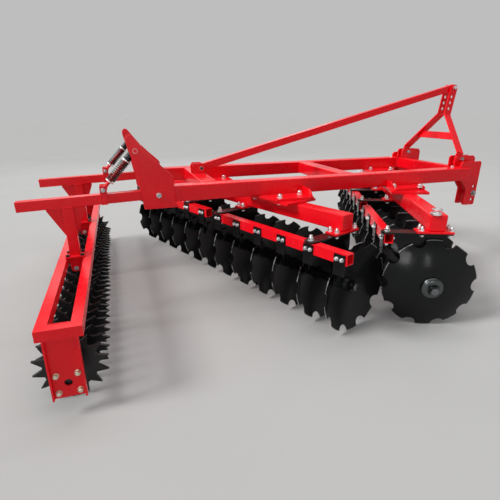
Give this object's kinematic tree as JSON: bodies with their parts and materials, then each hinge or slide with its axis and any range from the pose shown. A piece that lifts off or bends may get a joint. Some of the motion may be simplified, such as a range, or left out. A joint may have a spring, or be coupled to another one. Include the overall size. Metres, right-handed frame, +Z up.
{
  "type": "disc harrow",
  "caption": "Tractor-mounted offset disc harrow with two notched disc gangs, scrapers, a mast for the top link and a sprung star roller behind.",
  "frame": {"origin": "middle of the bounding box, on the ground", "axes": "+X forwards to the tractor, +Y to the machine's left, +Z up"},
  "size_m": [3.5098, 2.65, 1.4796],
  "materials": {
    "red_paint": "gloss",
    "black_paint": "gloss",
    "disc_paint": "gloss",
    "black_cast": "satin",
    "zinc": "satin"
  },
  "bodies": {
    "frame": {"frame_beam_right": "red_paint", "frame_beam_left": "red_paint", "rear_cross_tube": "red_paint", "middle_cross_tube": "red_paint", "front_cross_tube": "red_paint", "link_plates_right": "red_paint", "link_plates_left": "red_paint", "mast_plate_right": "red_paint", "mast_plate_left": "red_paint", "mast_crossbar": "red_paint", "mast_pins": "zinc", "top_brace": "red_paint", "brace_lug": "red_paint", "clamp_plates_front": "red_paint", "clamp_plates_rear": "red_paint", "gang_beam_front": "red_paint", "gang_beam_rear": "red_paint", "foot_plates_front": "red_paint", "foot_plates_rear": "red_paint", "hangers_front": "black_paint", "hangers_rear": "black_paint", "scraper_bars_front": "red_paint", "scraper_bars_rear": "red_paint", "scrapers_front": "black_paint", "scrapers_rear": "black_paint", "side_plates_right": "red_paint", "side_plates_left": "red_paint", "roller_arms": "red_paint", "arm_pins": "zinc", "arm_straps": "red_paint", "spring_rods": "red_paint", "springs": "black_paint", "spring_seats": "zinc", "roller_posts": "red_paint", "roller_frame": "red_paint", "roller_bearings": "black_paint"},
    "gang_front_right": {"discs_front_right": "disc_paint", "axle_front_right": "black_paint"},
    "gang_front_left": {"discs_front_left": "disc_paint", "axle_front_left": "black_paint"},
    "gang_rear_right": {"discs_rear_right": "disc_paint", "axle_rear_right": "black_paint"},
    "gang_rear_left": {"discs_rear_left": "disc_paint", "axle_rear_left": "black_paint"},
    "roller": {"star_roller": "black_cast"}
  },
  "joints": [
    {"name": "gang_front_right_spin", "type": "hinge", "parent": "frame", "child": "gang_front_right", "pos_m": [0.73903, -0.70751, 0.28], "axis": [0.3987, 0.9171, 0], "continuous": true},
    {"name": "gang_front_left_spin", "type": "hinge", "parent": "frame", "child": "gang_front_left", "pos_m": [1.25821, 0.4865, 0.28], "axis": [0.3987, 0.9171, 0], "continuous": true},
    {"name": "gang_rear_right_spin", "type": "hinge", "parent": "frame", "child": "gang_rear_right", "pos_m": [-0.12535, -0.4924, 0.28], "axis": [-0.3633, 0.9317, 0], "continuous": true},
    {"name": "gang_rear_left_spin", "type": "hinge", "parent": "frame", "child": "gang_rear_left", "pos_m": [-0.59831, 0.72066, 0.28], "axis": [-0.3633, 0.9317, 0], "continuous": true},
    {"name": "roller_spin", "type": "hinge", "parent": "frame", "child": "roller", "pos_m": [-1.48433, 0, 0.17], "axis": [0, 1, 0], "continuous": true}
  ]
}
